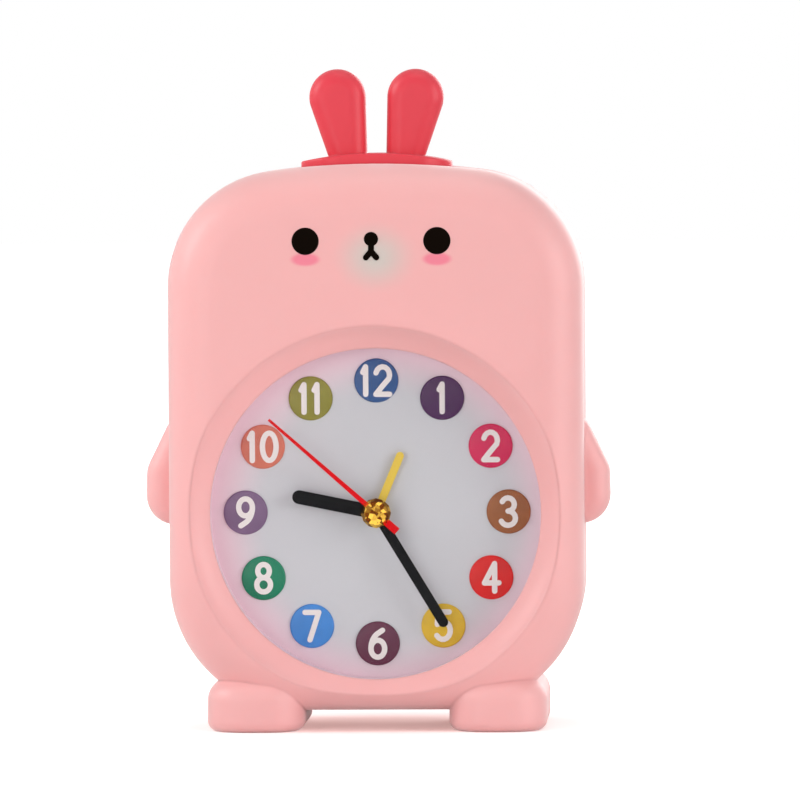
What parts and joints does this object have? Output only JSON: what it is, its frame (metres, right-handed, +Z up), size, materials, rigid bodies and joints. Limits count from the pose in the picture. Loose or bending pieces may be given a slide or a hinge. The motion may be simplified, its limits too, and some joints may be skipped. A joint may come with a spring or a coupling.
{
  "type": "kids alarm clock",
  "caption": "Soft pink rabbit-shaped alarm clock with a round sunk dial, coloured number discs, quartz hands, side arms, feet and a red ear button on top.",
  "frame": {"origin": "middle of the overall box on the surface that the feet stand on", "axes": "+Z up, +X to the right seen from the front, +Y to the back; the dial faces -Y"},
  "size_m": [0.1118, 0.0506, 0.1584],
  "materials": {
    "body_pink": "soft satin",
    "clear_lens": "clear",
    "dial_white": "matt print",
    "number_colours": "gloss print",
    "hand_yellow": "painted",
    "hand_black": "painted",
    "hand_red": "painted",
    "cap_gold": "polished",
    "movement_plastic": "moulded",
    "wheel_plastic": "moulded",
    "magnet_dark": "sintered",
    "pipe_brass": "turned",
    "knob_white": "moulded",
    "stator_steel": "stamped",
    "copper_wire": "enamelled wire",
    "board_green": "laminate",
    "chip_black": "moulded",
    "can_metal": "plated",
    "ear_red": "soft satin",
    "screw_steel": "zinc",
    "battery_wrap": "printed sleeve"
  },
  "bodies": {
    "case": {"front_shell": "body_pink", "rear_shell": "body_pink", "dial_lens": "clear_lens", "dial_plate": "dial_white", "number_discs": "number_colours", "movement_plate": "movement_plastic", "movement_case": "movement_plastic", "train_bridge": "movement_plastic", "stator": "stator_steel", "coil_core": "stator_steel", "coil_bobbin": "movement_plastic", "coil_winding": "copper_wire", "circuit_board": "board_green", "drive_chip": "chip_black", "crystal": "can_metal", "switch_board": "board_green", "snooze_switch": "chip_black", "board_screws": "screw_steel", "buzzer": "chip_black", "battery": "battery_wrap", "contact_plus": "can_metal", "contact_minus": "can_metal", "case_screws": "screw_steel", "movement_screws": "screw_steel"},
    "second_group": {"second_wheel": "wheel_plastic", "second_hand": "hand_red", "centre_cap": "cap_gold"},
    "third_group": {"third_wheel": "wheel_plastic"},
    "centre_group": {"centre_wheel": "wheel_plastic"},
    "inter_group": {"inter_wheel": "wheel_plastic"},
    "rotor_group": {"rotor": "magnet_dark"},
    "minute_group": {"minute_pipe": "pipe_brass", "minute_hand": "hand_black"},
    "minute_wheel_group": {"minute_wheel": "wheel_plastic"},
    "hour_group": {"hour_wheel": "wheel_plastic", "hour_hand": "hand_black"},
    "setting_group": {"setting_shaft": "wheel_plastic", "time_knob": "knob_white"},
    "alarm_group": {"alarm_wheel": "wheel_plastic", "alarm_hand": "hand_yellow"},
    "alarm_setting_group": {"alarm_shaft": "wheel_plastic", "alarm_knob": "knob_white"},
    "ear_group": {"ear_button": "ear_red", "switch_plunger": "chip_black"},
    "slider_group": {"alarm_slider": "knob_white"},
    "cover_group": {"battery_cover": "body_pink"}
  },
  "joints": [
    {"name": "second_turn", "type": "hinge", "parent": "case", "child": "second_group", "pos_m": [0, 0, 0.0521], "axis": [0, 1, 0], "continuous": true},
    {"name": "third_turn", "type": "hinge", "parent": "case", "child": "third_group", "pos_m": [0, 0, 0.06434], "axis": [0, 1, 0], "continuous": true},
    {"name": "centre_turn", "type": "hinge", "parent": "case", "child": "centre_group", "pos_m": [0, 0, 0.0521], "axis": [0, 1, 0], "continuous": true},
    {"name": "inter_turn", "type": "hinge", "parent": "case", "child": "inter_group", "pos_m": [-0.00779, 0, 0.0476], "axis": [0, 1, 0], "continuous": true},
    {"name": "rotor_turn", "type": "hinge", "parent": "case", "child": "rotor_group", "pos_m": [-0.01507, 0, 0.0434], "axis": [0, 1, 0], "continuous": true},
    {"name": "minute_turn", "type": "hinge", "parent": "case", "child": "minute_group", "pos_m": [0, 0, 0.0521], "axis": [0, 1, 0], "continuous": true},
    {"name": "minute_wheel_turn", "type": "hinge", "parent": "case", "child": "minute_wheel_group", "pos_m": [0.00831, 0, 0.0473], "axis": [0, 1, 0], "continuous": true},
    {"name": "hour_turn", "type": "hinge", "parent": "case", "child": "hour_group", "pos_m": [0, 0, 0.0521], "axis": [0, 1, 0], "continuous": true},
    {"name": "setting_turn", "type": "hinge", "parent": "case", "child": "setting_group", "pos_m": [0.01663, 0, 0.0425], "axis": [0, 1, 0], "continuous": true},
    {"name": "alarm_turn", "type": "hinge", "parent": "case", "child": "alarm_group", "pos_m": [0, 0, 0.0521], "axis": [0, 1, 0], "continuous": true},
    {"name": "alarm_knob_turn", "type": "hinge", "parent": "case", "child": "alarm_setting_group", "pos_m": [-0.01203, 0, 0.05648], "axis": [0, 1, 0], "continuous": true},
    {"name": "ear_press", "type": "slide", "parent": "case", "child": "ear_group", "axis": [0, 0, -1], "range_m": [0, 0.0022], "stiffness_N_per_m": 400, "springref_m": -0.002},
    {"name": "alarm_slide", "type": "slide", "parent": "case", "child": "slider_group", "axis": [1, 0, 0], "range_m": [0, 0.003]},
    {"name": "cover_lift", "type": "slide", "parent": "case", "child": "cover_group", "axis": [0, 1, 0], "range_m": [0, 0.03]}
  ],
  "couplings": [
    {"joint": "third_turn", "follows": "second_turn", "ratio": -0.13333},
    {"joint": "centre_turn", "follows": "second_turn", "ratio": 0.016667},
    {"joint": "inter_turn", "follows": "second_turn", "ratio": -5},
    {"joint": "rotor_turn", "follows": "second_turn", "ratio": 30},
    {"joint": "minute_wheel_turn", "follows": "minute_turn", "ratio": -0.33333},
    {"joint": "hour_turn", "follows": "minute_turn", "ratio": 0.083333},
    {"joint": "setting_turn", "follows": "minute_turn", "ratio": 1},
    {"joint": "alarm_turn", "follows": "alarm_knob_turn", "ratio": -0.6}
  ]
}
